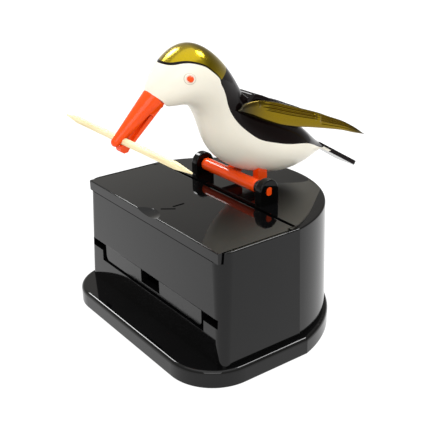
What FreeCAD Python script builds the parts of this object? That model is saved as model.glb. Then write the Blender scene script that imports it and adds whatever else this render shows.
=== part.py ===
import FreeCAD, Part
import math
import os

# A bird figure that bows from a perch on a box and picks up one toothpick in its beak.
# Units are millimetres.  +Z is up and the bird looks along -Y.
# Y is measured from the box's front wall while drawing; every piece is moved at export so
# that the origin is the middle of the base tray's footprint, on the table.

V = FreeCAD.Vector
X_AXIS = V(1, 0, 0)
Z_AXIS = V(0, 0, 1)

# ---- box ----
BOX_HALF_TOP = 35.1
BOX_HALF_FOOT = 36.2
BOX_FOOT_FRONT = -0.8
BOX_TOP = 38.2
BOX_SIDE_END = 26.6
BOX_REAR = 55.8
BOX_CORNER = 4.0
BOX_FOOT_CORNER = 2.5
REAR_BULGE_CENTRE = 19.85
REAR_BULGE_RADIUS = BOX_REAR - REAR_BULGE_CENTRE
WALL = 1.9
INSIDE_HALF = BOX_HALF_TOP - WALL

# ---- base tray ----
TRAY_THICK = 5.2
TRAY_FRONT = -9.2
TRAY_REAR = 56.7
TRAY_HALF = 38.4
TRAY_CORNER = 14.4
TRAY_SIDE_END = 27.6
TRAY_MIDDLE = (TRAY_FRONT + TRAY_REAR) / 2

# ---- front of the box ----
PANEL_FOOT = 18.7
LIP_TOP = 12.9
LIP_END_TOP = 16.3
LIP_HALF = 27.6
SLOT_HALF = 33.8
TROUGH_FLOOR = 12.2
TROUGH_BACK = 8.0

# ---- slot flap and hopper floor ----
FLAP_HALF = 26.0
FLAP_FACE = -0.1
FLAP_BACK = 2.15
FLAP_SHOULDER = 0.85
FLAP_FOOT = 13.5
FLAP_HINGE = (1.45, PANEL_FOOT + 0.8)
FLAP_BARREL = 0.6
FLAP_PIN = 0.42
PANEL_SKIN = 0.7
LUG_X = 27.8
LUG_TOP = 21.0
WINDOW_HALF = 5.0
WINDOW_FOOT = 14.3
FLOOR_FRONT = (7.4, 20.4)
FLOOR_REAR = (25.9, 26.4)
FLOOR_THICK = 1.5
PARTITION = (26.2, 28.0)
LEDGE_X = 31.6
LEDGE_FOOT = 17.0

# ---- lid and its hinge ----
RIM_HALF = BOX_HALF_TOP - 0.7
LID_HALF = RIM_HALF - 0.5
LID_SIDE_END = 23.8
HINGE_HALF = INSIDE_HALF - 0.25
LID_SEAM = 0.65
LID_THICK = 1.6
LID_FLANGE = 3.1
HINGE_Y = 25.5
HINGE_Z = BOX_TOP - 1.2
HINGE_RADIUS = 1.2
HINGE_PIN = 0.8
SCOOP_HALF = 6.0
SCOOP_DEPTH = 3.5
SCOOP_SPHERE = (SCOOP_HALF ** 2 + 1) / 2
ARROW = [(0, 4.8), (2.6, 8.2), (0.8, 8.2), (0.8, 12.4), (-0.8, 12.4), (-0.8, 8.2), (-2.6, 8.2)]

# ---- deck and perch ----
DECK_FRONT = 26.95
DECK_SEAT = 37.35
PERCH_Y = 31.0
PERCH_Z = 42.3
POST_INNER = 14.5
POST_THICK = 2.6
POST_WIDTH = 7.0
STUB_RADIUS = 1.3
BAR_RADIUS = 1.95
LEG_FRONT = 34.9
LEG_X = 6.0
LEG_HALF = 1.3
LEG_PEG_Y = 36.5
LEG_PEG_RADIUS = 1.1
STUB_FLAT = 0.9
SPRING_GAP = 2.8

# ---- toothpick, held across the beak ----
PICK_LENGTH = 65.0
PICK_RADIUS = 1.0
PICK_Y = -6.1
PICK_Z = 60.9

# ---- beak ----
BEAK_ROOT = (4.25, 70.7)
BEAK_ROOT_RADIUS = 3.4
BEAK_TIP = (-8.3, 60.9)
BEAK_TIP_RADIUS = 1.25
BEAK_PIN = (4.6, 69.0)
BEAK_PIN_RADIUS = 0.6
JAW_HALF = 1.8
JAW_RIB_HALF = 0.8
JAW_HOOK_HALF = 1.25
JAW_BARREL = 1.7
KEEL_HALF = 2.4
KEEL_ROUND = 3.4
KEEL_AXIS = ((6.53, 72.98), (-8.3, 59.78))

# ---- bird's body: belly point, back point and half width of each section, beak to tail ----
SECTIONS = [
    ((7.6, 68.0), (1.9, 73.0), 3.7),
    ((9.4, 67.8), (3.5, 75.8), 5.2),
    ((12.4, 67.7), (7.6, 80.3), 7.6),
    ((16.0, 66.4), (15.8, 84.2), 9.4),
    ((18.6, 63.2), (24.1, 79.9), 8.8),
    ((20.1, 58.5), (30.2, 72.6), 7.9),
    ((21.6, 54.5), (34.4, 66.4), 8.5),
    ((24.8, 49.8), (40.6, 62.4), 9.8),
    ((31.0, 45.2), (46.2, 59.6), 11.0),
    ((40.0, 42.0), (51.4, 56.8), 11.4),
    ((49.0, 41.8), (56.4, 53.2), 9.8),
    ((57.0, 43.4), (61.0, 49.2), 6.6),
    ((64.0, 44.4), (65.6, 45.8), 3.4),
]
SHELL = 1.8
ROUND_POINTS = 12

# edges between the bird's mouldings, as (Y, Z) points in its side view
CROWN_EDGE = [(6.0, 80.9), (8.0, 80.3), (9.5, 80.6), (11.6, 80.8), (13.9, 80.3), (15.9, 79.4),
              (17.6, 78.0), (19.5, 76.3), (20.6, 74.9)]
CROWN_END = (32.0, 79.7)
PIPING = 0.55
BACK_EDGE = [(20.4, 73.6), (22.3, 70.0), (23.8, 66.1), (25.5, 63.1), (27.4, 60.6), (30.0, 58.1),
             (33.0, 55.8), (37.7, 54.0), (42.2, 52.7), (52.8, 50.3), (58.2, 47.8), (64.8, 44.9)]
SADDLE = [(31.2, 66.5), (33.6, 68.6), (37.0, 67.3), (48.3, 62.0), (50.0, 59.4), (50.0, 55.0),
          (31.2, 60.0)]
SADDLE_HALF = 7.4
EYE = (10.9, 76.4)
EYE_RADIUS = 0.75
EYE_ROOT = 5.6
EYE_REACH = 8.9

# ---- tail and wings ----
TAIL_ROOT = (63.5, 46.2)
TAIL_TIP = (79.8, 36.2)
TAIL_HALF_ROOT = 3.0
TAIL_HALF_TIP = 4.6
TAIL_THICK = 1.4
TAIL_TAPER = [(66.5, 42.9), (69.5, 43.4), (90.0, 32.0), (90.0, 20.0), (66.5, 20.0)]
WING_GAP = 0.7
WING_THICK = 1.7
WING_PEG = (33.2, 64.4)
WING_PEG_RADIUS = 1.2
WING_PEG_REACH = 3.6
WING_TOP = [(26.3, 65.0), (28.6, 66.5), (33.2, 66.8), (38.4, 65.8), (44.2, 63.8), (50.0, 61.7),
            (55.9, 59.5), (60.2, 57.6), (66.0, 55.1), (71.5, 51.9), (75.9, 48.9)]
WING_FOOT = [(75.9, 48.9), (71.5, 50.2), (66.0, 52.1), (60.0, 53.7), (53.0, 55.4), (47.0, 56.7),
             (40.8, 58.5), (35.5, 60.6), (31.0, 62.7), (28.0, 64.0), (26.3, 65.0)]
WING_SPLAY = 2.6


def box(x0, x1, y0, y1, z0, z1):
    return Part.makeBox(x1 - x0, y1 - y0, z1 - z0, V(x0, y0, z0))


def across(radius, x0, x1, y, z):
    """A round bar along X."""
    return Part.makeCylinder(radius, x1 - x0, V(x0, y, z), X_AXIS)


def upright(radius, x, y, z0, z1):
    return Part.makeCylinder(radius, z1 - z0, V(x, y, z0))


def prism(points, x0, x1):
    """A side-view polygon of (Y, Z) points, drawn out along X."""
    ring = [V(x0, y, z) for y, z in points]
    face = Part.Face(Part.makePolygon(ring + [ring[0]]))
    return face.extrude(V(x1 - x0, 0, 0))


def side_curve(points, x):
    curve = Part.BSplineCurve()
    curve.interpolate([V(x, y, z) for y, z in points])
    return curve.toShape()


def curved_prism(curve, corners, x0, x1):
    """A side-view shape with one smooth edge, closed by straight corners, drawn out along X."""
    edge = side_curve(curve, x0)
    rest = [curve[-1]] + corners + [curve[0]]
    lines = Part.makePolygon([V(x0, y, z) for y, z in rest])
    wire = Part.Wire([edge] + lines.Edges)
    return Part.Face(wire).extrude(V(x1 - x0, 0, 0))


def joined(shapes):
    whole = shapes[0]
    for shape in shapes[1:]:
        whole = whole.fuse(shape)
    return whole.removeSplitter()


def mirrored(shape):
    return shape.mirror(V(0, 0, 0), X_AXIS)


def rounded(shape, radius, test):
    edges = [e for e in shape.Edges if test(e.BoundBox)]
    return shape.makeFillet(radius, edges)


def flat_at(z):
    return lambda b: abs(b.ZMin - z) < 0.01 and abs(b.ZMax - z) < 0.01


# ---------------------------------------------------------------- box

def d_outline(half, front, side_end, rear, corner, z):
    """A D seen from above: a straight front with round corners, and one arc behind."""
    k = corner * (1 - math.sqrt(0.5))
    a, b = V(corner - half, front, z), V(half - corner, front, z)
    c, d = V(half, front + corner, z), V(half, side_end, z)
    e, f = V(-half, side_end, z), V(-half, front + corner, z)
    edges = [
        Part.LineSegment(a, b),
        Part.Arc(b, V(half - k, front + k, z), c),
        Part.LineSegment(c, d),
        Part.Arc(d, V(0, rear, z), e),
        Part.LineSegment(e, f),
        Part.Arc(f, V(k - half, front + k, z), a),
    ]
    return Part.Wire([edge.toShape() for edge in edges])


def drafted_block(z_top):
    """The box's outer form, a little wider at its foot."""
    grow = BOX_HALF_FOOT - BOX_HALF_TOP
    foot = d_outline(BOX_HALF_FOOT, BOX_FOOT_FRONT, BOX_SIDE_END, BOX_REAR + grow / 2, BOX_FOOT_CORNER,
                     TRAY_THICK)
    top = d_outline(BOX_HALF_TOP, 0, BOX_SIDE_END, BOX_REAR, BOX_CORNER, BOX_TOP)
    block = Part.makeLoft([foot, top], True, True)
    block = rounded(block, 0.4, flat_at(BOX_TOP))
    return block.common(box(-60, 60, -20, 80, 0, z_top))


def rear_room(radius, front, z0, z1):
    room = upright(radius, 0, REAR_BULGE_CENTRE, z0, z1)
    return room.common(box(-60, 60, front, 80, z0, z1))


SCREWS = [(-29.6, 14.0), (29.6, 14.0), (-21.5, 43.0), (21.5, 43.0)]
SCREW_SHANK = 1.2
SCREW_HEAD = 2.3
SCREW_HEAD_HIGH = 1.6
SCREW_SEAT = 2.2
BOSS_RADIUS = 3.4
BOSS_TOP = 17.0


def flap_hinge_line(radius, reach):
    return across(radius, -reach, reach, *FLAP_HINGE)


def body_shell():
    shell = drafted_block(BOX_TOP)
    shell = shell.cut(box(-INSIDE_HALF, INSIDE_HALF, TROUGH_BACK, PARTITION[0], 0, 50))
    shell = shell.cut(box(-INSIDE_HALF, INSIDE_HALF, 1.9, TROUGH_BACK + 1, TROUGH_FLOOR, 50))
    shell = shell.cut(rear_room(REAR_BULGE_RADIUS - WALL, PARTITION[1], 0, 50))
    shell = shell.cut(box(-60, 60, DECK_FRONT, 80, DECK_SEAT, 50))
    shell = shell.cut(box(-RIM_HALF, RIM_HALF, -1, 2.5, BOX_TOP - LID_FLANGE - 0.05, 50))
    shell = shell.cut(box(-RIM_HALF, RIM_HALF, -1, LID_SIDE_END + LID_SEAM, BOX_TOP - LID_THICK - 0.05, 50))
    shell = shell.cut(box(-INSIDE_HALF, INSIDE_HALF, 20, 27.5, HINGE_Z - 1.6, 50))
    shell = shell.cut(box(-LIP_HALF, LIP_HALF, -1, 2.5, LIP_TOP, PANEL_FOOT))
    shell = shell.cut(box(-SLOT_HALF, SLOT_HALF, -1, 2.5, LIP_END_TOP, PANEL_FOOT))
    shell = shell.cut(across(HINGE_PIN + 0.06, -INSIDE_HALF - 1.3, INSIDE_HALF + 1.3, HINGE_Y, HINGE_Z))
    groove = box(-FLAP_HALF - 0.7, FLAP_HALF + 0.7, PANEL_SKIN, 3.0, PANEL_FOOT - 1, FLAP_HINGE[1] + 0.8)
    shell = shell.cut(groove)
    shell = rounded(shell, 0.35, lambda b: b.ZMin > PANEL_FOOT - 0.01 and b.ZMax < PANEL_FOOT + 0.01
                    and b.YMax < 0.01 and b.XLength > 20)
    lugs = [box(s * LUG_X - 1.0, s * LUG_X + 1.0, 1.8, 3.1, PANEL_FOOT, LUG_TOP) for s in (-1, 1)]
    shell = joined([shell] + lugs).cut(flap_hinge_line(FLAP_PIN + 0.06, 28.5))
    bosses = [upright(BOSS_RADIUS, x, y, TRAY_THICK, BOSS_TOP) for x, y in SCREWS]
    bosses = [b.common(drafted_block(BOX_TOP)) for b in bosses]
    ledges = [box(s * LEDGE_X - 1.7, s * LEDGE_X + 1.7, 9.0, 26.3, LEDGE_FOOT, 26.0) for s in (-1, 1)]
    ledges = [part.common(under_floor()) for part in ledges]
    shell = joined([shell] + bosses + ledges)
    for x, y in SCREWS:
        shell = shell.cut(upright(SCREW_SHANK + 0.02, x, y, 0, 14.0))
    return shell


def floor_line(y, drop):
    slope = (FLOOR_REAR[1] - FLOOR_FRONT[1]) / (FLOOR_REAR[0] - FLOOR_FRONT[0])
    return FLOOR_FRONT[1] + slope * (y - FLOOR_FRONT[0]) - drop


def under_floor():
    """Everything below the underside of the hopper floor."""
    return prism([(0, 0), (0, floor_line(0, FLOOR_THICK)), (30, floor_line(30, FLOOR_THICK)), (30, 0)],
                 -60, 60)


def hopper_floor():
    """The sloping plate that lets the toothpicks roll to the front."""
    y0, y1 = FLOOR_FRONT[0], FLOOR_REAR[0]
    profile = [(y0, floor_line(y0, FLOOR_THICK)), (y1, floor_line(y1, FLOOR_THICK)),
               (y1, floor_line(y1, 0)), (y0, floor_line(y0, 0))]
    half = INSIDE_HALF - 0.1
    return prism(profile, -half, half)


def slot_flap():
    """The hanging flap that closes the slot, with a window for the beak."""
    plate = box(-FLAP_HALF, FLAP_HALF, FLAP_FACE, FLAP_BACK, FLAP_FOOT, FLAP_HINGE[1])
    plate = rounded(plate, 1.6, lambda b: b.ZMax < FLAP_FOOT + 0.01 and b.XLength < 0.01)
    plate = plate.cut(box(-FLAP_HALF - 1, FLAP_HALF + 1, -1, FLAP_SHOULDER, PANEL_FOOT - 0.12, 25.0))
    window = box(-WINDOW_HALF, WINDOW_HALF, -1, 5, WINDOW_FOOT, FLAP_HINGE[1] - FLAP_BARREL)
    barrel = flap_hinge_line(FLAP_BARREL, FLAP_HALF)
    return joined([plate.cut(window), barrel, flap_hinge_line(FLAP_PIN, 28.3)])


def base_tray():
    outline = d_outline(TRAY_HALF, TRAY_FRONT, TRAY_SIDE_END, TRAY_REAR, TRAY_CORNER, 0)
    tray = Part.Face(outline).extrude(V(0, 0, TRAY_THICK))
    tray = rounded(tray, 1.1, flat_at(TRAY_THICK))
    tray = rounded(tray, 0.4, flat_at(0))
    pocket = Part.Face(d_outline(TRAY_HALF - 3, TRAY_FRONT + 3, TRAY_SIDE_END, TRAY_REAR - 3,
                                 TRAY_CORNER - 3, -1)).extrude(V(0, 0, 1 + 2.2))
    pads = [upright(5.0, x, y, -1, 3) for x, y in SCREWS]
    pocket = pocket.cut(joined(pads + [upright(9.0, 0, TRAY_MIDDLE, -1, 3)]))
    tray = tray.cut(pocket)
    for x, y in SCREWS:
        tray = tray.cut(upright(SCREW_SHANK + 0.2, x, y, -1, TRAY_THICK + 1))
        tray = tray.cut(upright(SCREW_HEAD + 0.3, x, y, -1, SCREW_SEAT))
    return tray


def base_screws():
    screws = []
    for x, y in SCREWS:
        head = upright(SCREW_HEAD, x, y, SCREW_SEAT - SCREW_HEAD_HIGH, SCREW_SEAT)
        shank = upright(SCREW_SHANK, x, y, SCREW_SEAT, 13.0)
        cross = box(x - 1.2, x + 1.2, y - 0.25, y + 0.25, 0, SCREW_SEAT - SCREW_HEAD_HIGH + 0.7)
        cross = cross.fuse(box(x - 0.25, x + 0.25, y - 1.2, y + 1.2, 0, SCREW_SEAT - SCREW_HEAD_HIGH + 0.7))
        screws.append(head.fuse(shank).cut(cross))
    return Part.makeCompound(screws)


def lid():
    """The flip lid, with a front flange, a thumb scoop and hinge pins at its rear corners."""
    plate = box(-LID_HALF, LID_HALF, 0.05, HINGE_Y, BOX_TOP - LID_THICK, BOX_TOP)
    flange = box(-LID_HALF, LID_HALF, 0.05, 1.9, BOX_TOP - LID_FLANGE, BOX_TOP)
    barrel = across(HINGE_RADIUS, -HINGE_HALF, HINGE_HALF, HINGE_Y, HINGE_Z)
    whole = joined([plate, flange, barrel])
    for side in (-1, 1):
        notch = box(HINGE_HALF, 40, LID_SIDE_END, 30, 30, 50)
        whole = whole.cut(notch if side > 0 else mirrored(notch))
    whole = rounded(whole, 0.35, lambda b: b.YMax < 0.06 and b.ZMin > BOX_TOP - 0.01)
    pins = across(HINGE_PIN, -INSIDE_HALF - 1.2, INSIDE_HALF + 1.2, HINGE_Y, HINGE_Z)
    bowl = Part.makeSphere(SCOOP_SPHERE, V(0, SCOOP_DEPTH - SCOOP_HALF, BOX_TOP - 1 + SCOOP_SPHERE))
    ring = [V(x, y, BOX_TOP - 0.2) for x, y in ARROW]
    arrow = Part.Face(Part.makePolygon(ring + [ring[0]])).extrude(V(0, 0, 0.4))
    return joined([whole.cut(bowl), pins, arrow])


def rear_deck():
    """The D-shaped cover behind the lid, which carries the perch."""
    top = drafted_block(BOX_TOP).common(box(-60, 60, DECK_FRONT, 80, DECK_SEAT, 50))
    rim = rear_room(REAR_BULGE_RADIUS - WALL - 0.1, PARTITION[1] + 0.1, DECK_SEAT - 1.5, DECK_SEAT)
    rim = rim.cut(rear_room(REAR_BULGE_RADIUS - WALL - 1.7, PARTITION[1] + 1.7, 0, DECK_SEAT - 0.7))
    deck = joined([top, rim])
    for x in (-1, 1):
        deck = deck.cut(tenon(x * (POST_INNER + POST_THICK / 2), 0.05))
    return deck


def tenon(x, gap):
    half = 0.8 + gap
    return box(x - half, x + half, PERCH_Y - 2 - gap, PERCH_Y + 2 + gap, DECK_SEAT - 3, BOX_TOP + 0.01)


def perch_post(side):
    """An arch-topped cheek with a hole for the perch bar's stub."""
    r = POST_WIDTH / 2
    x0 = POST_INNER
    arch = across(r, x0, x0 + POST_THICK, PERCH_Y, PERCH_Z)
    stem = box(x0, x0 + POST_THICK, PERCH_Y - r, PERCH_Y + r, BOX_TOP, PERCH_Z)
    post = joined([arch, stem])
    post = rounded(post, 0.45, lambda b: b.ZMax > PERCH_Z + 1 and b.XLength < 0.01)
    foot = tenon(x0 + POST_THICK / 2, 0).cut(box(-60, 60, 0, 80, 0, DECK_SEAT - 1.4))
    post = joined([post, foot]).cut(across(STUB_RADIUS + 0.06, 0, 60, PERCH_Y, PERCH_Z))
    return post if side > 0 else mirrored(post)


def coil(wire, radius, turns, pitch, x, y, z):
    """A close-wound spring body about an X axis, from its left end."""
    helix = Part.makeHelix(pitch, pitch * turns, radius)
    ring = Part.Wire(Part.makeCircle(wire / 2, V(radius, 0, 0), V(0, 1, 0)))
    spring = helix.makePipeShell([ring], True, True)
    spring.rotate(V(0, 0, 0), V(0, 1, 0), 90)
    spring.translate(V(x, y, z))
    return spring


# ---------------------------------------------------------------- bird

def half_section(section, inset):
    """Points round one side of an oval cross-section, from the belly up to the back."""
    (y0, z0), (y1, z1), half = section
    middle = V(0, (y0 + y1) / 2, (z0 + z1) / 2)
    rise = V(0, y1 - y0, z1 - z0)
    tall = rise.Length / 2 - inset
    rise.normalize()
    points = []
    for i in range(ROUND_POINTS + 1):
        a = math.pi * i / ROUND_POINTS
        points.append(middle - rise * (tall * math.cos(a)) + X_AXIS * ((half - inset) * math.sin(a)))
    points[-1].x = 0
    return points


def end_face(sides, row):
    """The flat oval that closes one end of the bird's form."""
    def on_row(edge):
        ends = [v.Point for v in edge.Vertexes]
        near = [min(p.distanceToPoint(row[0]), p.distanceToPoint(row[-1])) < 0.001 for p in ends]
        return all(near) and ends[0].distanceToPoint(ends[1]) > 0.1
    return Part.Face(Part.Wire([e for side in sides for e in side.Edges if on_row(e)]))


def bird_form(sections, inset):
    """The smooth solid through the oval sections, inset all round for the hollow."""
    grid = [half_section(section, inset) for section in sections]
    surface = Part.BSplineSurface()
    surface.interpolate(grid)
    side = surface.toShape()
    sides = [side, mirrored(side)]
    skin = Part.makeCompound(sides + [end_face(sides, grid[0]), end_face(sides, grid[-1])])
    skin.sewShape()
    return Part.Solid(Part.Shell(skin.Faces))


def crown_region(drop):
    """The part of the side view above the crown's edge, lowered by drop."""
    edge = [(y, z - drop) for y, z in CROWN_EDGE]
    end = (CROWN_END[0], CROWN_END[1] - drop)
    return curved_prism(edge, [end, (32.0, 95.0), (-5.0, 95.0), (-5.0, edge[0][1])], -20, 20)


def back_region():
    """The part of the side view behind the breast and above the belly."""
    corners = [(90.0, 44.9), (90.0, 95.0), (21.0, 95.0), (20.0, 75.2)]
    return curved_prism(BACK_EDGE, corners, -20, 20)


def saddle():
    """The flat-sided shoulder that the wings are pegged to."""
    block = prism(SADDLE, -SADDLE_HALF, SADDLE_HALF)
    return rounded(block, 1.2, lambda b: b.ZMin > 61.9)


def tail_blade(z_shift, thick):
    """A thin flat tail, a little wider at its tip."""
    (y0, z0), (y1, z1) = TAIL_ROOT, TAIL_TIP
    run = V(0, y1 - y0, z1 - z0)
    length = run.Length
    outline = [V(-TAIL_HALF_ROOT, 0, 0), V(-TAIL_HALF_TIP, length, 0), V(TAIL_HALF_TIP, length, 0),
               V(TAIL_HALF_ROOT, 0, 0)]
    blade = Part.Face(Part.makePolygon(outline + [outline[0]])).extrude(V(0, 0, thick))
    blade = rounded(blade, 2.0, lambda b: b.YMin > length - 0.01 and b.XLength < 0.01)
    blade.translate(V(0, 0, z_shift))
    blade.rotate(V(0, 0, 0), X_AXIS, math.degrees(math.atan2(z1 - z0, y1 - y0)))
    blade.translate(V(0, y0, z0))
    return blade


def peg(side, gap):
    """A wing's round peg, which turns in the saddle."""
    inner = SADDLE_HALF - WING_PEG_REACH
    bar = across(WING_PEG_RADIUS + gap, inner, SADDLE_HALF + WING_GAP + 0.8, *WING_PEG)
    return bar if side > 0 else mirrored(bar)


def with_sockets(shape):
    """Cuts the sockets for the two leg pegs and the two eyes."""
    for side in (-1, 1):
        shape = shape.cut(leg_peg(side, 0.05))
        shape = shape.cut(eye(side))
    return shape


def bird_shells():
    """The white belly, the black back and the metallic crown, all with one hollow inside."""
    outer = bird_form(SECTIONS, 0)
    hollow = bird_form(SECTIONS[1:-1], SHELL)
    solid = outer.cut(hollow)
    back_zone = back_region().fuse(crown_region(PIPING))
    back = outer.common(back_zone).fuse(saddle()).cut(hollow).cut(crown_region(0))
    under_tail = tail_blade(-TAIL_THICK / 2, TAIL_THICK / 2)
    under_tip = under_tail.common(prism(TAIL_TAPER, -10, 10))
    back = joined([back, tail_blade(0, TAIL_THICK / 2).cut(outer), under_tip])
    for side in (-1, 1):
        back = back.cut(peg(side, 0.05))
    crown = solid.common(crown_region(0))
    belly = solid.cut(back_zone).cut(saddle())
    belly = joined([belly, under_tail.cut(under_tip).cut(outer)])
    belly = with_sockets(belly).cut(jaw_room())
    return belly, back, crown


def eye(side):
    """A coloured pupil pin, set straight into the side of the head."""
    pin = across(EYE_RADIUS, EYE_ROOT, EYE_REACH, *EYE)
    pin = rounded(pin, 0.3, lambda b: b.XMin > EYE_REACH - 0.01)
    return pin if side > 0 else mirrored(pin)


def beak_cone():
    """The outer form of the upper beak, from the face to its round tip."""
    root, tip = V(0, *BEAK_ROOT), V(0, *BEAK_TIP)
    axis = tip - root
    cone = Part.makeCone(BEAK_ROOT_RADIUS, BEAK_TIP_RADIUS, axis.Length, root, axis)
    return cone.fuse(Part.makeSphere(BEAK_TIP_RADIUS, tip))


def under_beak():
    """The round form that the beak's underside and the jaw share."""
    start, end = V(0, *KEEL_AXIS[0]), V(0, *KEEL_AXIS[1])
    axis = end - start
    return Part.makeCylinder(KEEL_ROUND, axis.Length, start, axis)


def jaw_room():
    """The slot in the face and the upper beak that the lower jaw swings in."""
    half = JAW_HALF + 0.15
    slot = prism([(2.9, 69.6), (4.4, 71.4), (9.5, 70.0), (8.2, 66.0), (-8.0, 52.0), (-8.0, 59.0),
                  (0.9, 67.5)], -half, half)
    rib_half = JAW_RIB_HALF + 0.15
    rib_slot = prism([(3.0, 69.5), (0.55, 68.1), (-6.0, 62.35), (-6.0, 60.0), (3.0, 66.0)],
                     -rib_half, rib_half)
    return joined([slot, rib_slot, across(JAW_BARREL + 0.5, -half, half, *BEAK_PIN)])


def pick_groove(gap):
    return across(PICK_RADIUS + gap, -20, 20, PICK_Y, PICK_Z)


def pin_hole(half, gap):
    return across(BEAK_PIN_RADIUS + gap, -half, half, *BEAK_PIN)


def upper_beak():
    """The fixed upper beak, cut away behind for the lower jaw, with a cheek each side of its root."""
    below = prism([(1.2, 67.4), (-6.6, 60.7), (-12.0, 56.0), (4.0, 52.0), (12.0, 62.0), (4.2, 67.2)],
                  -10, 10)
    cheeks = prism([(6.3, 68.6), (2.9, 65.7), (2.04, 66.84), (1.2, 67.4), (3.0, 71.0), (5.5, 70.5)],
                   -KEEL_HALF, KEEL_HALF).common(under_beak())
    beak = joined([beak_cone().cut(below), cheeks]).cut(bird_form(SECTIONS, 0)).cut(jaw_room())
    return beak.cut(pick_groove(0.02)).cut(pin_hole(KEEL_HALF, 0))


def lower_beak():
    """The sprung lower jaw: a strip with a rib inside and a hook under the toothpick."""
    strip = prism([(5.74, 67.73), (5.9, 67.2), (-3.1, 59.3), (-4.35, 60.5), (2.04, 66.84), (3.4, 68.3)],
                  -JAW_HALF, JAW_HALF).common(under_beak())
    rib = prism([(2.6, 66.9), (-4.3, 60.2), (-5.2, 62.3), (0.95, 67.65)], -JAW_RIB_HALF, JAW_RIB_HALF)
    hook = prism([(-3.0, 60.7), (-3.3, 59.7), (-4.8, 58.6), (-5.35, 57.8), (-6.5, 57.65), (-7.4, 58.2),
                  (-7.6, 58.9), (-7.35, 59.75), (-6.1, 60.4), (-4.9, 61.2)],
                 -JAW_HOOK_HALF, JAW_HOOK_HALF)
    jaw = joined([strip, rib, hook, across(JAW_BARREL, -JAW_HALF, JAW_HALF, *BEAK_PIN)])
    jaw = jaw.cut(pick_groove(0.03)).cut(pin_hole(10, 0.04))
    coil_room = across(2.0, 0.7, 5, *BEAK_PIN)
    return jaw.cut(coil_room).removeSplitter()


def beak_pin():
    return pin_hole(KEEL_HALF - 0.05, 0)


def beak_spring():
    """The small spring beside the jaw's barrel, which keeps the jaw closed."""
    turns, pitch, wire, radius = 1.5, 0.52, 0.36, 1.15
    return coil(wire, radius, turns, pitch, 0.92, *BEAK_PIN)


def wing():
    """One swept-back wing, pegged to the saddle's side."""
    outline = side_curve(WING_TOP, 0)
    under = side_curve(WING_FOOT, 0)
    blade = Part.Face(Part.Wire([outline, under])).extrude(V(WING_THICK, 0, 0))
    blade.translate(V(SADDLE_HALF + WING_GAP, 0, 0))
    blade.rotate(V(SADDLE_HALF, WING_TOP[0][0], 0), Z_AXIS, -WING_SPLAY)
    return joined([blade, peg(1, 0)])


def leg_peg(side, gap):
    bar = upright(LEG_PEG_RADIUS + gap, LEG_X, LEG_PEG_Y, 41.0, 48.0)
    return bar if side > 0 else mirrored(bar)


def perch_yoke():
    """The perch bar with its two stubs, and the bird's two legs behind it."""
    bar = across(BAR_RADIUS, -POST_INNER + 0.2, POST_INNER - SPRING_GAP, PERCH_Y, PERCH_Z)
    bar = rounded(bar, 0.9, lambda b: b.XLength < 0.01)
    stub = across(STUB_RADIUS, 0.1 - POST_INNER - POST_THICK, POST_INNER + POST_THICK - 0.1,
                  PERCH_Y, PERCH_Z)
    for side in (-1, 1):
        for edge in (-1, 1):
            x = side * (POST_INNER + POST_THICK - 0.3)
            y = PERCH_Y + edge * (STUB_FLAT + 1)
            stub = stub.cut(box(x - 0.8, x + 0.8, y - 1, y + 1, PERCH_Z - 3, PERCH_Z + 3))
    outer = bird_form(SECTIONS, 0)
    legs = []
    for side in (-1, 1):
        x = side * LEG_X
        leg = prism([(PERCH_Y, 40.5), (PERCH_Y, 42.6), (LEG_FRONT, 42.6), (LEG_FRONT, 47.5), (38.2, 47.5),
                     (38.2, 41.3), (37.4, 40.5)], x - LEG_HALF, x + LEG_HALF)
        legs.append(leg.cut(outer))
        legs.append(leg_peg(side, 0))
    return joined([bar, stub] + legs)


def return_spring():
    """The torsion spring that stands the bird up again, round the perch bar's right stub."""
    turns, pitch, wire, radius = 3.5, 0.57, 0.5, 1.8
    x0 = POST_INNER - SPRING_GAP + 0.3
    body = coil(wire, radius, turns, pitch, x0, PERCH_Y, PERCH_Z)
    foot = Part.makeCylinder(wire / 2, 4.6, V(x0, PERCH_Y + 0.2, PERCH_Z - radius), V(0, 1, -0.42))
    return body.fuse(foot)


def toothpick():
    half = PICK_LENGTH / 2
    point = 7.0
    tip = 0.25
    shaft = across(PICK_RADIUS, point - half, half - point, PICK_Y, PICK_Z)
    right = Part.makeCone(PICK_RADIUS, tip, point, V(half - point, PICK_Y, PICK_Z), X_AXIS)
    left = Part.makeCone(PICK_RADIUS, tip, point, V(point - half, PICK_Y, PICK_Z), V(-1, 0, 0))
    return shaft.fuse(right).fuse(left).removeSplitter()


def save(name, shape):
    placed = shape.copy()
    placed.translate(V(0, -TRAY_MIDDLE, 0))
    placed.exportStep("parts/" + name + ".step")
    if not placed.isValid():
        print("not valid:", name)
    print(f"{name:18s} {len(placed.Solids)} solid(s) {placed.Volume:10.2f} mm3")


os.makedirs("parts", exist_ok=True)
belly, back, crown = bird_shells()
near_wing = wing()
pieces = {
    "base_tray": base_tray(),
    "base_screws": base_screws(),
    "body_shell": body_shell(),
    "hopper_floor": hopper_floor(),
    "slot_flap": slot_flap(),
    "lid": lid(),
    "rear_deck": rear_deck(),
    "perch_post_left": perch_post(1),
    "perch_post_right": perch_post(-1),
    "return_spring": return_spring(),
    "perch_yoke": perch_yoke(),
    "belly_shell": belly,
    "back_shell": back,
    "crown_cap": crown,
    "eye_left": eye(1),
    "eye_right": eye(-1),
    "upper_beak": upper_beak(),
    "lower_beak": lower_beak(),
    "beak_pin": beak_pin(),
    "beak_spring": beak_spring(),
    "wing_left": near_wing,
    "wing_right": mirrored(near_wing),
    "toothpick": toothpick(),
}
for name, shape in pieces.items():
    save(name, shape)
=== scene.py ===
import math

import bmesh
import bpy
from mathutils import Matrix, Vector


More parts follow.
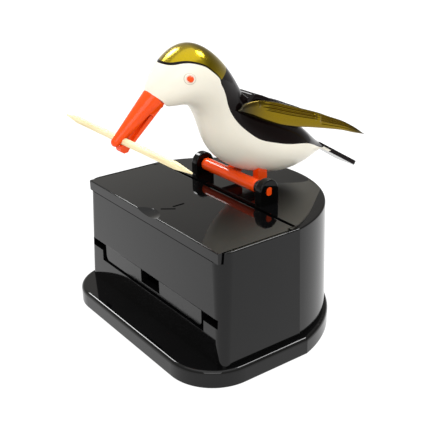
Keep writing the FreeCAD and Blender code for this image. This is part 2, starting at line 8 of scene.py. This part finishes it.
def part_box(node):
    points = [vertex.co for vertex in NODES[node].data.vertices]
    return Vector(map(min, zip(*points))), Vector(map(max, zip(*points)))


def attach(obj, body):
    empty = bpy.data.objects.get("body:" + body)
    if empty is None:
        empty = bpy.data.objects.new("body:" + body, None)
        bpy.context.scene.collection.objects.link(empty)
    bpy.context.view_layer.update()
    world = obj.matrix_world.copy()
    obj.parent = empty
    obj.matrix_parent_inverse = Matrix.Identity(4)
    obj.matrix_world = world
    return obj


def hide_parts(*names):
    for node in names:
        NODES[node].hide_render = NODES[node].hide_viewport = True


# Looks for a desk toothpick dispenser: a bird on a perch over a lidded box.
# Everything is in metres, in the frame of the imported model.

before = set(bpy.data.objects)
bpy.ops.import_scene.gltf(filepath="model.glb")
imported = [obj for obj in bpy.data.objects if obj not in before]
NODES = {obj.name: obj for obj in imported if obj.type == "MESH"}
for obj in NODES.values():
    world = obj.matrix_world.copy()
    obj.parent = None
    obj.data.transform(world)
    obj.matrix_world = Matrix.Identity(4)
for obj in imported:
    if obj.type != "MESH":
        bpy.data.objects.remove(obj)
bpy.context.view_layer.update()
MM = 0.001


# ---------------------------------------------------------------- node helpers

def new_material(name):
    material = bpy.data.materials.new(name)
    material.use_nodes = True
    tree = material.node_tree
    shader = tree.nodes["Principled BSDF"]
    return material, tree, shader


def add(tree, kind, **properties):
    """A new node with its properties set by name."""
    node = tree.nodes.new(kind)
    for key, value in properties.items():
        setattr(node, key, value)
    return node


def noise(tree, scale, detail=3.0, stretch=(1, 1, 1)):
    """3-D noise in object coordinates, stretched along the axes."""
    place = add(tree, "ShaderNodeTexCoord")
    move = add(tree, "ShaderNodeMapping")
    move.inputs["Scale"].default_value = stretch
    field = add(tree, "ShaderNodeTexNoise")
    field.inputs["Scale"].default_value = scale
    field.inputs["Detail"].default_value = detail
    tree.links.new(place.outputs["Object"], move.inputs["Vector"])
    tree.links.new(move.outputs["Vector"], field.inputs["Vector"])
    return field.outputs["Fac"]


def ramp(tree, source, stops):
    """Colours at positions along a value, blended in between."""
    node = add(tree, "ShaderNodeValToRGB")
    node.color_ramp.elements[0].position = stops[0][0]
    node.color_ramp.elements[0].color = (*stops[0][1], 1)
    node.color_ramp.elements[1].position = stops[-1][0]
    node.color_ramp.elements[1].color = (*stops[-1][1], 1)
    for position, colour in stops[1:-1]:
        node.color_ramp.elements.new(position).color = (*colour, 1)
    tree.links.new(source, node.inputs["Fac"])
    return node.outputs["Color"]


def spread(tree, source, low, high):
    """Stretches the middle of a noise field over a range."""
    node = add(tree, "ShaderNodeMapRange")
    node.inputs["From Min"].default_value = 0.3
    node.inputs["From Max"].default_value = 0.7
    node.inputs["To Min"].default_value = low
    node.inputs["To Max"].default_value = high
    tree.links.new(source, node.inputs["Value"])
    return node.outputs["Result"]


def relief(tree, shader, source, depth, strength=1.0):
    """Fine surface waviness, depth in metres."""
    bump = add(tree, "ShaderNodeBump")
    bump.inputs["Distance"].default_value = depth
    bump.inputs["Strength"].default_value = strength
    tree.links.new(source, bump.inputs["Height"])
    tree.links.new(bump.outputs["Normal"], shader.inputs["Normal"])


def plastic(name, dark, light, rough, wave_scale=60, subsurface=0.0, ior=1.5):
    """Moulded plastic: slight colour drift, uneven gloss, and the faint waviness of a moulding."""
    material, tree, shader = new_material(name)
    tint = ramp(tree, noise(tree, 90, 4), [(0.3, dark), (0.7, light)])
    tree.links.new(tint, shader.inputs["Base Color"])
    gloss = spread(tree, noise(tree, 900, 5), *rough)
    tree.links.new(gloss, shader.inputs["Roughness"])
    relief(tree, shader, noise(tree, wave_scale, 2), 0.000004)
    shader.inputs["IOR"].default_value = ior
    if subsurface:
        shader.inputs["Subsurface Weight"].default_value = subsurface
        shader.inputs["Subsurface Radius"].default_value = (1, 0.75, 0.5)
        shader.inputs["Subsurface Scale"].default_value = 0.0012
    return material


def metallic_paint(name, dark, light):
    """Gold paint: fine metal flakes under a thin clear coat."""
    material, tree, shader = new_material(name)
    flakes = noise(tree, 9000, 2)
    tint = ramp(tree, flakes, [(0.3, dark), (0.7, light)])
    tree.links.new(tint, shader.inputs["Base Color"])
    tree.links.new(spread(tree, flakes, 0.14, 0.22), shader.inputs["Roughness"])
    relief(tree, shader, flakes, 0.000004, 0.15)
    shader.inputs["Metallic"].default_value = 1.0
    shader.inputs["Coat Weight"].default_value = 0.12
    shader.inputs["Coat Roughness"].default_value = 0.03
    return material


def wire_steel(name, shade=1.0):
    """Drawn wire with faint marks along it, bright or blued."""
    material, tree, shader = new_material(name)
    marks = noise(tree, 2500, 3, (0.2, 1, 1))
    tint = ramp(tree, marks, [(0.3, (0.52 * shade, 0.52 * shade, 0.53 * shade)),
                              (0.7, (0.78 * shade, 0.78 * shade, 0.79 * shade))])
    tree.links.new(tint, shader.inputs["Base Color"])
    tree.links.new(spread(tree, marks, 0.16, 0.3), shader.inputs["Roughness"])
    shader.inputs["Metallic"].default_value = 1.0
    return material


def split_wood(name):
    """Pale birch with grain along X."""
    material, tree, shader = new_material(name)
    grain = noise(tree, 1500, 6, (0.05, 1, 1))
    tint = ramp(tree, grain, [(0.25, (0.72, 0.56, 0.28)), (0.5, (0.86, 0.74, 0.44)),
                              (0.75, (0.92, 0.84, 0.56))])
    tree.links.new(tint, shader.inputs["Base Color"])
    tree.links.new(spread(tree, grain, 0.5, 0.75), shader.inputs["Roughness"])
    relief(tree, shader, grain, 0.00006)
    return material


BLACK = plastic("polished_black", (0.0016, 0.0016, 0.0018), (0.0026, 0.0026, 0.0028), (0.03, 0.07),
                ior=1.36)
BLACK_INNER = plastic("plain_black", (0.002, 0.002, 0.0022), (0.003, 0.003, 0.0033), (0.2, 0.32))
BLACK_POST = plastic("post_black", (0.001, 0.001, 0.001), (0.002, 0.002, 0.002), (0.04, 0.08), ior=1.27)
BACK_BLACK = plastic("smoky_black", (0.003, 0.0018, 0.0018), (0.006, 0.003, 0.003), (0.04, 0.09),
                     ior=1.2)
IVORY = plastic("ivory", (0.82, 0.775, 0.66), (0.86, 0.815, 0.70), (0.28, 0.36), wave_scale=25,
                subsurface=0.12)
ORANGE = plastic("orange_red", (0.84, 0.068, 0.003), (0.92, 0.080, 0.004), (0.16, 0.22), wave_scale=25,
                 ior=1.33)
GOLD = metallic_paint("olive_gold", (0.17, 0.11, 0.002), (0.25, 0.17, 0.004))
CROWN_GOLD = metallic_paint("crown_gold", (0.30, 0.21, 0.004), (0.42, 0.31, 0.008))
STEEL = wire_steel("bright_wire")
BLUED = wire_steel("blued_wire", 0.06)
BLACK_FLAP = plastic("flap_black", (0.0022, 0.0022, 0.0024), (0.0034, 0.0034, 0.0036), (0.06, 0.12),
                     ior=1.4)
WOOD = split_wood("pale_birch")

FINISH = {
    "base_tray": BLACK, "body_shell": BLACK, "lid": BLACK, "rear_deck": BLACK,
    "hopper_floor": BLACK_INNER, "slot_flap": BLACK_FLAP, "base_screws": STEEL,
    "perch_post_left": BLACK_POST, "perch_post_right": BLACK_POST, "return_spring": BLUED,
    "perch_yoke": ORANGE, "belly_shell": IVORY, "back_shell": BACK_BLACK, "crown_cap": CROWN_GOLD,
    "eye_left": ORANGE, "eye_right": ORANGE, "upper_beak": ORANGE, "lower_beak": ORANGE,
    "beak_pin": STEEL, "beak_spring": STEEL, "wing_left": GOLD, "wing_right": GOLD,
    "toothpick": WOOD,
}
for name, material in FINISH.items():
    mesh = NODES[name].data
    mesh.materials.clear()
    mesh.materials.append(material)


# ---------------------------------------------------------------- wings
# The outlines are in mm: distance back from the front wall, and height. u runs from root to tip,
# v from the lower edge to the upper one.

WING_TOP = [(26.3, 65.0), (28.6, 66.5), (33.2, 66.8), (38.4, 65.8), (44.2, 63.8), (50.0, 61.7),
            (55.9, 59.5), (60.2, 57.6), (66.0, 55.1), (71.5, 51.9), (75.9, 48.9)]
WING_FOOT = [(26.3, 65.0), (28.0, 64.0), (31.0, 62.7), (35.5, 60.6), (40.8, 58.5), (47.0, 56.7),
             (53.0, 55.4), (60.0, 53.7), (66.0, 52.1), (71.5, 50.2), (75.9, 48.9)]
BOX_TO_FRAME = 23.75
WING_ROOT = 26.3
WING_LENGTH = 49.4
WING_END_GAP = 0.08
WING_INNER = 8.1
WING_LEAN = 0.0454
WING_THICK = 1.7
WING_PEG = (33.2, 64.4)
PEG_MARK_RISE = 1.2
PEG_RADIUS = 1.2
PEG_LENGTH = 3.0
PEG_MIDDLE = 7.3
ROOT_DENSE = 1.6
ALONG = 300
ACROSS = 44


def smooth_step(low, high, value):
    """Rises from 0 at low to 1 at high, with level ends."""
    t = min(1.0, max(0.0, (value - low) / (high - low)))
    return t * t * (3 - 2 * t)


def curve_height(points, y):
    """Height of a smooth curve through points at y."""
    slopes = []
    for i in range(len(points)):
        before = points[max(i - 1, 0)]
        after = points[min(i + 1, len(points) - 1)]
        slopes.append((after[1] - before[1]) / (after[0] - before[0]))
    for i in range(len(points) - 1):
        (y0, z0), (y1, z1) = points[i], points[i + 1]
        if y <= y1 or i == len(points) - 2:
            span = y1 - y0
            t = min(1.0, max(0.0, (y - y0) / span))
            return ((2 * t ** 3 - 3 * t ** 2 + 1) * z0 + (t ** 3 - 2 * t ** 2 + t) * span * slopes[i]
                    + (3 * t ** 2 - 2 * t ** 3) * z1 + (t ** 3 - t ** 2) * span * slopes[i + 1])


def wing_height(u, v, y, z):
    """How far the moulded outer face stands off the flat inner one, in mm."""
    height = 0.35 + 0.75 * max(0.0, 1 - abs(2 * v - 1) ** 2.4) ** 0.7
    near = smooth_step(0.16, 0.26, u) * (1 - smooth_step(0.57, 0.6, u))
    height += 0.28 * near * smooth_step(0.5, 0.62, v) * math.cos(2 * math.pi * (v - 0.66) / 0.15)
    far = smooth_step(0.6, 0.63, u) * (1 - smooth_step(0.9, 0.97, u))
    ridge = math.cos(2 * math.pi * (v - 0.5) / 0.155)
    hatch = 0.5 + 0.5 * math.cos(2 * math.pi * u * 62)
    height += far * smooth_step(0.36, 0.46, v) * (0.24 * ridge + 0.14 * hatch * max(0.0, ridge))
    height -= 0.24 * far * math.exp(-((v - 0.36) / 0.07) ** 2)
    step = math.exp(-((u - 0.6) / 0.008) ** 2) + 0.8 * math.exp(-((u - 0.565) / 0.006) ** 2)
    height += 0.4 * step * smooth_step(0.42, 0.55, v) * (1 - smooth_step(0.9, 1.0, v))
    peg = math.hypot(y - WING_PEG[0], z - WING_PEG[1] - PEG_MARK_RISE)
    height += 0.4 * math.exp(-(peg / 0.5) ** 2)
    return min(height, WING_THICK)


def gold_with_painted_root_shade(name, gold):
    """The gold paint, with painted shade darkening it at the root, and darker towards the tip."""
    material = gold.copy()
    material.name = name
    tree = material.node_tree
    shader = tree.nodes["Principled BSDF"]
    paint = shader.inputs["Base Color"].links[0].from_socket
    place = add(tree, "ShaderNodeTexCoord")
    split = add(tree, "ShaderNodeSeparateXYZ")
    tree.links.new(place.outputs["Object"], split.inputs["Vector"])
    # Painted shade: the paint blends to a dark colour near the root. It also turns dark towards the
    # tip.
    root_shade_and_dark_tip = ramp(tree, split.outputs["Y"], [(0.0040, (0, 0, 0)), (0.0130, (1, 1, 1)),
                                           (0.0440, (1, 1, 1)), (0.0505, (0.1, 0.1, 0.1))])
    mix = add(tree, "ShaderNodeMix", data_type="RGBA")
    mix.inputs[6].default_value = (0.03, 0.026, 0.016, 1)
    tree.links.new(root_shade_and_dark_tip, mix.inputs[0])
    tree.links.new(paint, mix.inputs[7])
    tree.links.new(mix.outputs[2], shader.inputs["Base Color"])
    return material


def wing(node, body):
    """One closed blade with a flat inner face, a moulded outer one and a round peg."""
    low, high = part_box(node)
    side = 1 if high[0] > 0 else -1
    bm = bmesh.new()
    grids = []
    for layer in (0, 1):
        rows = []
        for i in range(ALONG + 1):
            u = i / ALONG
            u = u ** ROOT_DENSE if u < 0.5 else 1 - (1 - u) * (1 - 0.5 ** ROOT_DENSE) / 0.5
            y = WING_ROOT + WING_END_GAP + u * (WING_LENGTH - 2 * WING_END_GAP)
            foot, top = curve_height(WING_FOOT, y), curve_height(WING_TOP, y)
            inner = WING_INNER + (y - WING_ROOT) * WING_LEAN
            row = []
            for j in range(ACROSS + 1):
                v = j / ACROSS
                z = foot + (top - foot) * v
                room = smooth_step(0, 2.2, top - foot)
                x = inner + layer * wing_height(u, v, y, z) * (0.45 + 0.55 * room)
                row.append(bm.verts.new((side * x * MM, (y - BOX_TO_FRAME) * MM, z * MM)))
            rows.append(row)
        grids.append(rows)
    inside, outside = grids
    for i in range(ALONG):
        for j in range(ACROSS):
            for rows in grids:
                face = bm.faces.new((rows[i][j], rows[i + 1][j], rows[i + 1][j + 1], rows[i][j + 1]))
                face.smooth = True
                face.material_index = 0 if rows is outside else 1
        for j in (0, ACROSS):
            bm.faces.new((inside[i][j], inside[i + 1][j], outside[i + 1][j], outside[i][j]))
    for i in (0, ALONG):
        for j in range(ACROSS):
            bm.faces.new((inside[i][j], inside[i][j + 1], outside[i][j + 1], outside[i][j]))
    peg_at = Matrix.Translation((side * PEG_MIDDLE * MM, (WING_PEG[0] - BOX_TO_FRAME) * MM,
                                 WING_PEG[1] * MM))
    bmesh.ops.create_cone(bm, cap_ends=True, segments=40, radius1=PEG_RADIUS * MM,
                          radius2=PEG_RADIUS * MM, depth=PEG_LENGTH * MM,
                          matrix=peg_at @ Matrix.Rotation(math.pi / 2, 4, "Y"))
    bmesh.ops.recalc_face_normals(bm, faces=bm.faces)
    mesh = bpy.data.meshes.new(node + "_blade")
    bm.to_mesh(mesh)
    bm.free()
    mesh.materials.append(WING_GOLD_ROOT_SHADE)
    mesh.materials.append(BACK_BLACK)
    blade = bpy.data.objects.new(node + "_blade", mesh)
    bpy.context.scene.collection.objects.link(blade)
    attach(blade, body)
    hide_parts(node)


# Gold paint for the wings, with painted shade at the root and a darker tip.
WING_GOLD_ROOT_SHADE = gold_with_painted_root_shade("wing_gold_painted_root_shade", GOLD)
wing("wing_left", "left_wing")
wing("wing_right", "right_wing")


# ---------------------------------------------------------------- eye rings
# RING is the rim's section: distance from the eye's centre and height off the head, in mm.

EYE = (10.9, 76.4)
RING = [(1.50, -0.25), (1.50, 0.02), (1.34, 0.12), (1.18, 0.17), (1.02, 0.15), (0.88, 0.06),
        (0.78, 0.0), (0.78, -0.25)]
RING_WALL = 2
RING_TURNS = 64
RAY_START = 30


def skin_point(y, z, side):
    """Where a ray from the side meets the head, with the head's normal there."""
    start = Vector((side * RAY_START * MM, (y - BOX_TO_FRAME) * MM, z * MM))
    return NODES["belly_shell"].ray_cast(start, Vector((-side, 0, 0)))[1:3]


def eye_ring(name, side):
    """The raised rim round a pupil, which follows the head's curve."""
    bm = bmesh.new()
    rings = []
    for radius, rise in RING:
        ring = []
        for k in range(RING_TURNS):
            turn = 2 * math.pi * k / RING_TURNS
            y = EYE[0] + radius * math.cos(turn)
            z = EYE[1] + radius * math.sin(turn)
            place, normal = skin_point(y, z, side)
            ring.append(bm.verts.new(place + normal * rise * MM))
        rings.append(ring)
    for i, a in enumerate(rings):
        b = rings[(i + 1) % len(rings)]
        for k in range(RING_TURNS):
            n = (k + 1) % RING_TURNS
            face = bm.faces.new((a[k], a[n], b[n], b[k]))
            face.smooth = True
            # The bands of the rim's outer wall take the painted shade material.
            face.material_index = 1 if i < RING_WALL else 0
    bmesh.ops.recalc_face_normals(bm, faces=bm.faces)
    mesh = bpy.data.meshes.new(name)
    bm.to_mesh(mesh)
    bm.free()
    mesh.materials.append(RIM_WHITE)
    mesh.materials.append(RIM_PAINTED_SHADE)
    rim = bpy.data.objects.new(name, mesh)
    bpy.context.scene.collection.objects.link(rim)
    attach(rim, "bird")


RIM_WHITE = plastic("eye_rim_white", (0.84, 0.79, 0.67), (0.88, 0.83, 0.71), (0.12, 0.2),
                    wave_scale=25)
# Ivory darkened with painted shade, for the shadow line round the eye's rim.
RIM_PAINTED_SHADE = plastic("eye_rim_painted_shade", (0.50, 0.45, 0.36), (0.56, 0.51, 0.41), (0.2, 0.3), wave_scale=25)
eye_ring("eye_rim_left", 1)
eye_ring("eye_rim_right", -1)


# ---------------------------------------------------------------- floor, light, camera

def stage_floor():
    """A white floor that glows, so that the part throws no shadow on it."""
    material, tree, shader = new_material("studio_floor")
    tint = ramp(tree, noise(tree, 3, 2), [(0.3, (0.12, 0.12, 0.12)), (0.7, (0.14, 0.14, 0.14))])
    tree.links.new(tint, shader.inputs["Base Color"])
    shader.inputs["Emission Color"].default_value = (1, 1, 1, 1)
    shader.inputs["Emission Strength"].default_value = 0.96
    shader.inputs["Roughness"].default_value = 0.9
    shader.inputs["Specular IOR Level"].default_value = 0.1
    bm = bmesh.new()
    bmesh.ops.create_circle(bm, cap_ends=True, radius=3.0, segments=96)
    mesh = bpy.data.meshes.new("floor")
    bm.to_mesh(mesh)
    bm.free()
    mesh.materials.append(material)
    floor = bpy.data.objects.new("floor", mesh)
    bpy.context.scene.collection.objects.link(floor)


def studio_world():
    """White behind the part; a soft grey sky, darker at the back, for its reflections."""
    world = bpy.data.worlds.new("studio")
    bpy.context.scene.world = world
    world.use_nodes = True
    tree = world.node_tree
    light = tree.nodes["Background"]
    place = add(tree, "ShaderNodeTexCoord")
    split = add(tree, "ShaderNodeSeparateXYZ")
    tree.links.new(place.outputs["Generated"], split.inputs["Vector"])
    sky = ramp(tree, split.outputs["Z"], [(0.0, (0.95, 0.95, 0.95)), (0.22, (0.52, 0.51, 0.48)),
                                          (0.44, (0.38, 0.37, 0.35)), (0.7, (0.55, 0.55, 0.54)),
                                          (1.0, (0.85, 0.85, 0.85))])
    dim = add(tree, "ShaderNodeMapRange")
    dim.inputs["From Min"].default_value = 0.42
    dim.inputs["From Max"].default_value = 0.7
    dim.inputs["To Min"].default_value = 1.0
    dim.inputs["To Max"].default_value = 0.5
    tree.links.new(split.outputs["Y"], dim.inputs["Value"])
    shade = add(tree, "ShaderNodeMix", data_type="RGBA", blend_type="MULTIPLY")
    shade.inputs[0].default_value = 1.0
    tree.links.new(sky, shade.inputs[6])
    tree.links.new(dim.outputs["Result"], shade.inputs[7])
    tree.links.new(shade.outputs[2], light.inputs["Color"])
    light.inputs["Strength"].default_value = 1.25
    seen = add(tree, "ShaderNodeBackground")
    seen.inputs["Color"].default_value = (1, 1, 1, 1)
    mix = add(tree, "ShaderNodeMixShader")
    path = add(tree, "ShaderNodeLightPath")
    tree.links.new(path.outputs["Is Camera Ray"], mix.inputs["Fac"])
    tree.links.new(light.outputs["Background"], mix.inputs[1])
    tree.links.new(seen.outputs["Background"], mix.inputs[2])
    tree.links.new(mix.outputs["Shader"], tree.nodes["World Output"].inputs["Surface"])


def soft_box(name, place, target, width, power):
    """A square lamp of a width in metres, aimed at a point."""
    lamp = bpy.data.lights.new(name, "AREA")
    lamp.shape = "SQUARE"
    lamp.size = width
    lamp.energy = power
    holder = bpy.data.objects.new(name, lamp)
    holder.location = place
    aim = Vector(target) - Vector(place)
    holder.rotation_euler = aim.to_track_quat("-Z", "Y").to_euler()
    bpy.context.scene.collection.objects.link(holder)


def studio_camera():
    """From the front left of the bird, a little above it."""
    right = Vector((0.5927, 0.8053, -0.0179))
    up = Vector((-0.3077, 0.2469, 0.9189))
    back = Vector((0.7443, -0.5391, 0.3941))
    lens = bpy.data.cameras.new("camera")
    lens.lens = 66.5
    lens.sensor_width = 36.0
    lens.clip_start = 0.01
    holder = bpy.data.objects.new("camera", lens)
    holder.matrix_world = Matrix((
        (right.x, up.x, back.x, 0.17908),
        (right.y, up.y, back.y, -0.12950),
        (right.z, up.z, back.z, 0.12599),
        (0, 0, 0, 1)))
    bpy.context.scene.collection.objects.link(holder)
    bpy.context.scene.camera = holder


stage_floor()
studio_world()
soft_box("key", (-0.62, 0.0, 0.58), (0, 0, 0.05), 0.2, 2.8)
soft_box("fill", (0.55, -0.45, 0.55), (0, 0, 0.06), 0.5, 2.4)
soft_box("rim", (0.0, 0.45, 0.75), (0, 0, 0.06), 0.25, 3.5)
soft_box("overhead", (0.0, 0.0, 1.6), (0, 0, 0), 1.6, 7.0)
studio_camera()
bpy.context.scene.view_settings.view_transform = "Standard"
